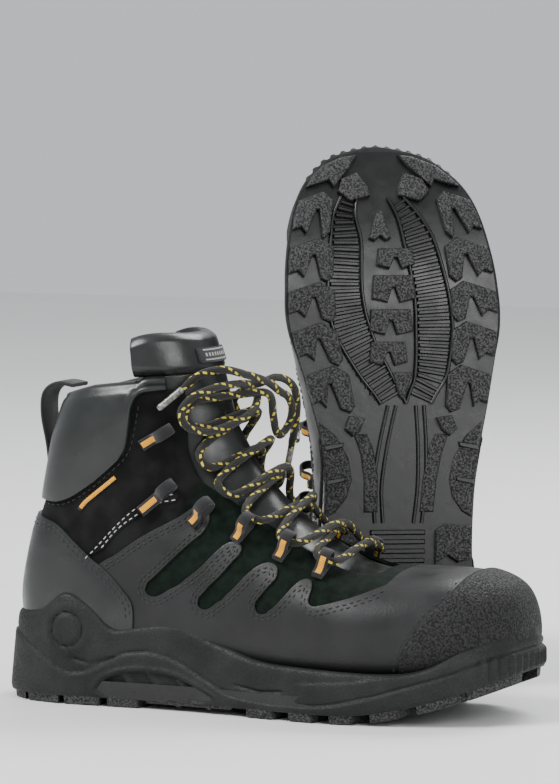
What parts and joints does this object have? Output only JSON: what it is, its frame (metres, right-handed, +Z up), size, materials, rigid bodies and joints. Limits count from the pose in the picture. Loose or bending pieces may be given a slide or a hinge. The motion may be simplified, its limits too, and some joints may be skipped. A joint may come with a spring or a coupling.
{
  "type": "mountaineering boots",
  "caption": "Pair of laced mid-height leather mountaineering boots with padded collars, webbing lace loops, rubber toe bumpers and lugged soles; one stands, the other is propped toe up.",
  "frame": {"origin": "centre of the pair's bounding box, on the floor", "axes": "+Z up; the standing right boot's toe points along +X, and its outer side faces -Y; the left boot is propped upright on its heel behind it"},
  "size_m": [0.2986, 0.3332, 0.2973],
  "materials": {
    "leather": "smooth, waxed, dark grey to black",
    "coated_leather": "smooth and glossy, padded",
    "sole_rubber": "matt, finely stippled sidewall",
    "bumper_rubber": "coarsely stippled",
    "webbing": "woven black webbing",
    "loop_webbing": "black webbing with orange stripes",
    "lining_fabric": "soft knitted lining",
    "tongue_fabric": "close woven, faintly green black",
    "footbed_foam": "felt over foam",
    "lace": "round braid, black with yellow flecks",
    "lace_tip": "clear shrunk sleeve",
    "stiffener": "hidden moulded stiffener",
    "steel": "hidden spring steel"
  },
  "bodies": {
    "right_boot": {"right_outsole": "sole_rubber", "right_midsole": "sole_rubber", "right_shank": "steel", "right_toe_bumper": "bumper_rubber", "right_vamp": "leather", "right_heel_panel": "leather", "right_collar": "coated_leather", "right_toe_cap": "stiffener", "right_heel_counter": "stiffener", "right_lining": "lining_fabric", "right_tongue": "tongue_fabric", "right_pull_loop": "webbing", "right_lace": "lace", "right_lace_tip_outer": "lace_tip", "right_lace_tip_inner": "lace_tip", "right_lace_loop_outer_1": "loop_webbing", "right_lace_loop_outer_2": "loop_webbing", "right_lace_loop_outer_3": "loop_webbing", "right_lace_loop_outer_4": "loop_webbing", "right_lace_loop_outer_5": "loop_webbing", "right_lace_loop_outer_6": "loop_webbing", "right_lace_loop_inner_1": "loop_webbing", "right_lace_loop_inner_2": "loop_webbing", "right_lace_loop_inner_3": "loop_webbing", "right_lace_loop_inner_4": "loop_webbing", "right_lace_loop_inner_5": "loop_webbing", "right_lace_loop_inner_6": "loop_webbing"},
    "right_footbed": {"right_footbed": "footbed_foam"},
    "right_tongue_top": {"right_tongue_top": "coated_leather", "right_tongue_label": "webbing"},
    "left_boot": {"left_outsole": "sole_rubber", "left_midsole": "sole_rubber", "left_shank": "steel", "left_toe_bumper": "bumper_rubber", "left_vamp": "leather", "left_heel_panel": "leather", "left_collar": "coated_leather", "left_toe_cap": "stiffener", "left_heel_counter": "stiffener", "left_lining": "lining_fabric", "left_tongue": "tongue_fabric", "left_pull_loop": "webbing", "left_lace": "lace", "left_lace_tip_outer": "lace_tip", "left_lace_tip_inner": "lace_tip", "left_lace_loop_outer_1": "loop_webbing", "left_lace_loop_outer_2": "loop_webbing", "left_lace_loop_outer_3": "loop_webbing", "left_lace_loop_outer_4": "loop_webbing", "left_lace_loop_outer_5": "loop_webbing", "left_lace_loop_outer_6": "loop_webbing", "left_lace_loop_inner_1": "loop_webbing", "left_lace_loop_inner_2": "loop_webbing", "left_lace_loop_inner_3": "loop_webbing", "left_lace_loop_inner_4": "loop_webbing", "left_lace_loop_inner_5": "loop_webbing", "left_lace_loop_inner_6": "loop_webbing"},
    "left_footbed": {"left_footbed": "footbed_foam"},
    "left_tongue_top": {"left_tongue_top": "coated_leather", "left_tongue_label": "webbing"}
  },
  "joints": [
    {"name": "left_boot_lift", "type": "slide", "parent": "right_boot", "child": "left_boot", "axis": [0, 0, 1], "range_m": [0, 0.25]},
    {"name": "right_footbed_lift", "type": "hinge", "parent": "right_boot", "child": "right_footbed", "pos_m": [0.12904, -0.10739, 0.027], "axis": [0, 1, 0], "range_deg": [0, 7]},
    {"name": "right_tongue_flex", "type": "hinge", "parent": "right_boot", "child": "right_tongue_top", "pos_m": [-0.02932, -0.10739, 0.178], "axis": [0, 1, 0], "range_deg": [0, 18], "stiffness_Nm_per_rad": 0.3},
    {"name": "left_footbed_lift", "type": "hinge", "parent": "left_boot", "child": "left_footbed", "pos_m": [0.01556, 0.01768, 0.27665], "axis": [0.8829, 0.4695, 0], "range_deg": [0, 7]},
    {"name": "left_tongue_flex", "type": "hinge", "parent": "left_boot", "child": "left_tongue_top", "pos_m": [-0.04668, 0.13472, 0.10256], "axis": [0.8829, 0.4695, 0], "range_deg": [0, 18], "stiffness_Nm_per_rad": 0.3}
  ]
}
